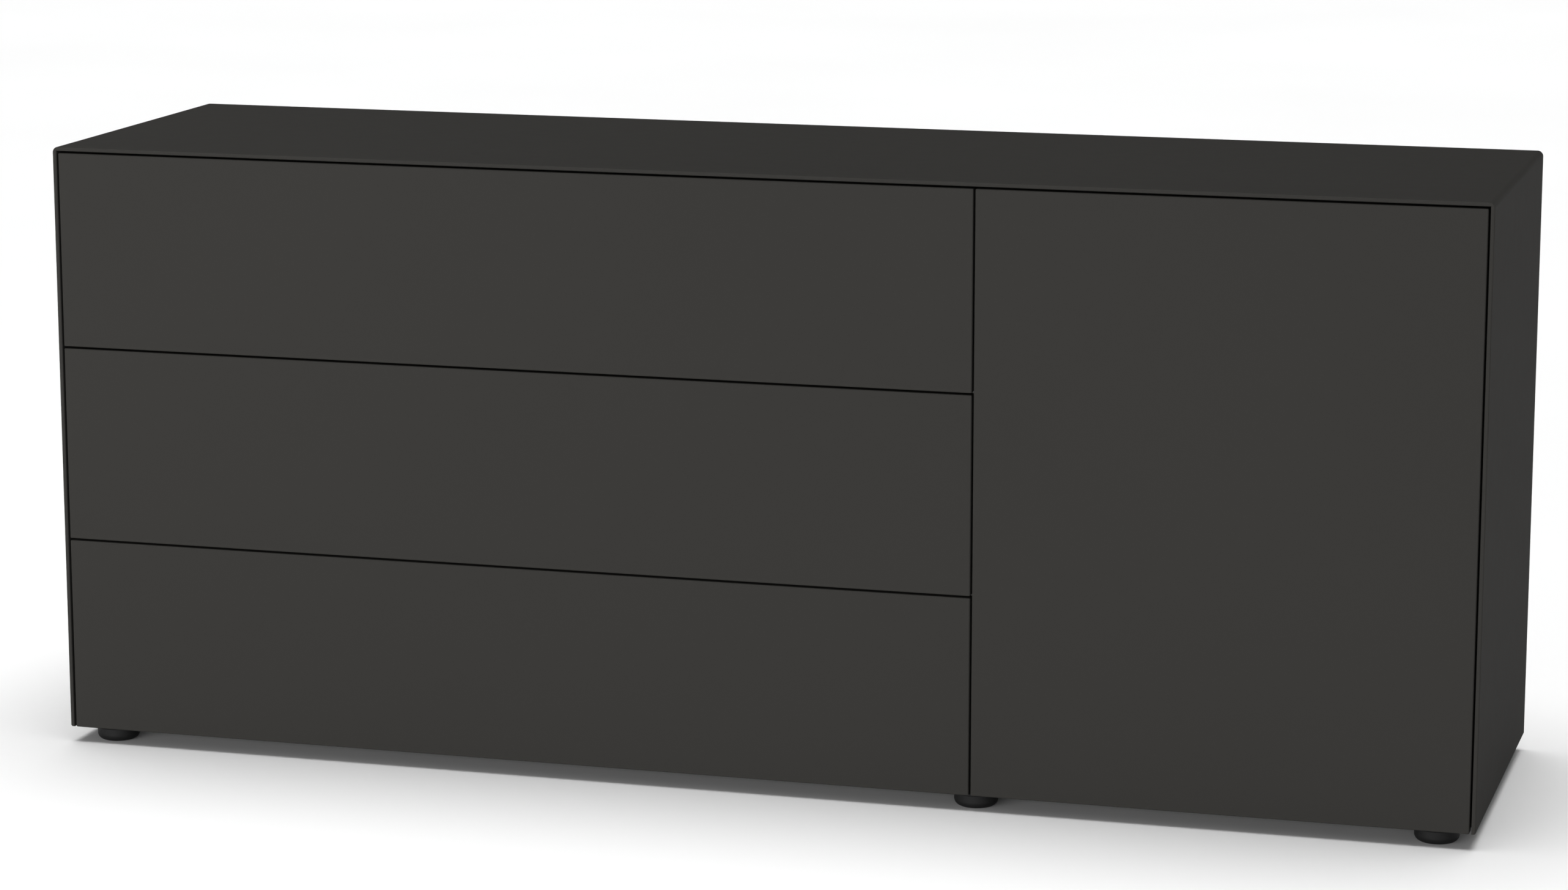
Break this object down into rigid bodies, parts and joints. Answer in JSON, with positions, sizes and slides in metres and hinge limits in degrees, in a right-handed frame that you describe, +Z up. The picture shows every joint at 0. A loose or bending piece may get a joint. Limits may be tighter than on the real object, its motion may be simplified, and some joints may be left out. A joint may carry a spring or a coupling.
{
  "type": "dresser with drawers",
  "caption": "Low wide sideboard: flush push-to-open drawers stacked beside a tall hinged door, in a thin-edged mitred case on low round feet.",
  "frame": {"origin": "on the floor, under the middle of the case", "axes": "+X left to right as seen from the front, +Y front to back, +Z up"},
  "size_m": [1.8, 0.48, 0.77],
  "materials": {
    "lacquer": "matte anthracite lacquer on board",
    "inner_board": "dark melamine on board",
    "drawer_board": "grey melamine on board",
    "slide_steel": "zinc-plated rolled steel",
    "hinge_steel": "nickel-plated steel",
    "foot_plastic": "fine-textured black plastic",
    "latch_plastic": "grey plastic"
  },
  "bodies": {
    "case": {"top_panel": "lacquer", "left_side_panel": "lacquer", "right_side_panel": "lacquer", "bottom_panel": "inner_board", "back_panel": "inner_board", "centre_partition": "inner_board", "shelf": "inner_board", "bottom_drawer_left_cabinet_slide": "slide_steel", "bottom_drawer_right_cabinet_slide": "slide_steel", "middle_drawer_left_cabinet_slide": "slide_steel", "middle_drawer_right_cabinet_slide": "slide_steel", "top_drawer_left_cabinet_slide": "slide_steel", "top_drawer_right_cabinet_slide": "slide_steel", "foot_front_left": "foot_plastic", "foot_front_middle": "foot_plastic", "foot_front_right": "foot_plastic", "shelf_pin_front_left": "slide_steel", "shelf_pin_front_right": "slide_steel", "foot_rear_left": "foot_plastic", "foot_rear_middle": "foot_plastic", "foot_rear_right": "foot_plastic", "shelf_pin_rear_left": "slide_steel", "shelf_pin_rear_right": "slide_steel", "upper_hinge_arm": "hinge_steel", "lower_hinge_arm": "hinge_steel", "push_latch_housing": "latch_plastic"},
    "door": {"door_panel": "lacquer", "upper_hinge_cup": "hinge_steel", "upper_hinge_pin": "hinge_steel", "lower_hinge_cup": "hinge_steel", "lower_hinge_pin": "hinge_steel"},
    "push_latch": {"push_latch_plunger": "foot_plastic"},
    "bottom_drawer": {"bottom_drawer_front": "lacquer", "bottom_drawer_left_side": "drawer_board", "bottom_drawer_right_side": "drawer_board", "bottom_drawer_back": "drawer_board", "bottom_drawer_base": "drawer_board", "bottom_drawer_left_drawer_slide": "slide_steel", "bottom_drawer_right_drawer_slide": "slide_steel"},
    "bottom_drawer_slides": {"bottom_drawer_left_intermediate_slide": "slide_steel", "bottom_drawer_right_intermediate_slide": "slide_steel"},
    "middle_drawer": {"middle_drawer_front": "lacquer", "middle_drawer_left_side": "drawer_board", "middle_drawer_right_side": "drawer_board", "middle_drawer_back": "drawer_board", "middle_drawer_base": "drawer_board", "middle_drawer_left_drawer_slide": "slide_steel", "middle_drawer_right_drawer_slide": "slide_steel"},
    "middle_drawer_slides": {"middle_drawer_left_intermediate_slide": "slide_steel", "middle_drawer_right_intermediate_slide": "slide_steel"},
    "top_drawer": {"top_drawer_front": "lacquer", "top_drawer_left_side": "drawer_board", "top_drawer_right_side": "drawer_board", "top_drawer_back": "drawer_board", "top_drawer_base": "drawer_board", "top_drawer_left_drawer_slide": "slide_steel", "top_drawer_right_drawer_slide": "slide_steel"},
    "top_drawer_slides": {"top_drawer_left_intermediate_slide": "slide_steel", "top_drawer_right_intermediate_slide": "slide_steel"}
  },
  "joints": [
    {"name": "bottom_drawer_travel", "type": "slide", "parent": "case", "child": "bottom_drawer", "axis": [0, -1, 0], "range_m": [-0.002, 0.4]},
    {"name": "bottom_drawer_slide_travel", "type": "slide", "parent": "case", "child": "bottom_drawer_slides", "axis": [0, -1, 0], "range_m": [-0.001, 0.2]},
    {"name": "middle_drawer_travel", "type": "slide", "parent": "case", "child": "middle_drawer", "axis": [0, -1, 0], "range_m": [-0.002, 0.4]},
    {"name": "middle_drawer_slide_travel", "type": "slide", "parent": "case", "child": "middle_drawer_slides", "axis": [0, -1, 0], "range_m": [-0.001, 0.2]},
    {"name": "top_drawer_travel", "type": "slide", "parent": "case", "child": "top_drawer", "axis": [0, -1, 0], "range_m": [-0.002, 0.4]},
    {"name": "top_drawer_slide_travel", "type": "slide", "parent": "case", "child": "top_drawer_slides", "axis": [0, -1, 0], "range_m": [-0.001, 0.2]},
    {"name": "door_hinge", "type": "hinge", "parent": "case", "child": "door", "pos_m": [0.8728, -0.2303, 0.385], "axis": [0, 0, 1], "range_deg": [-0.2, 95]},
    {"name": "push_latch_travel", "type": "slide", "parent": "case", "child": "push_latch", "axis": [0, 1, 0], "range_m": [0, 0.002], "stiffness_N_per_m": 600}
  ],
  "couplings": [
    {"joint": "bottom_drawer_slide_travel", "follows": "bottom_drawer_travel", "ratio": 0.5},
    {"joint": "middle_drawer_slide_travel", "follows": "middle_drawer_travel", "ratio": 0.5},
    {"joint": "top_drawer_slide_travel", "follows": "top_drawer_travel", "ratio": 0.5}
  ]
}
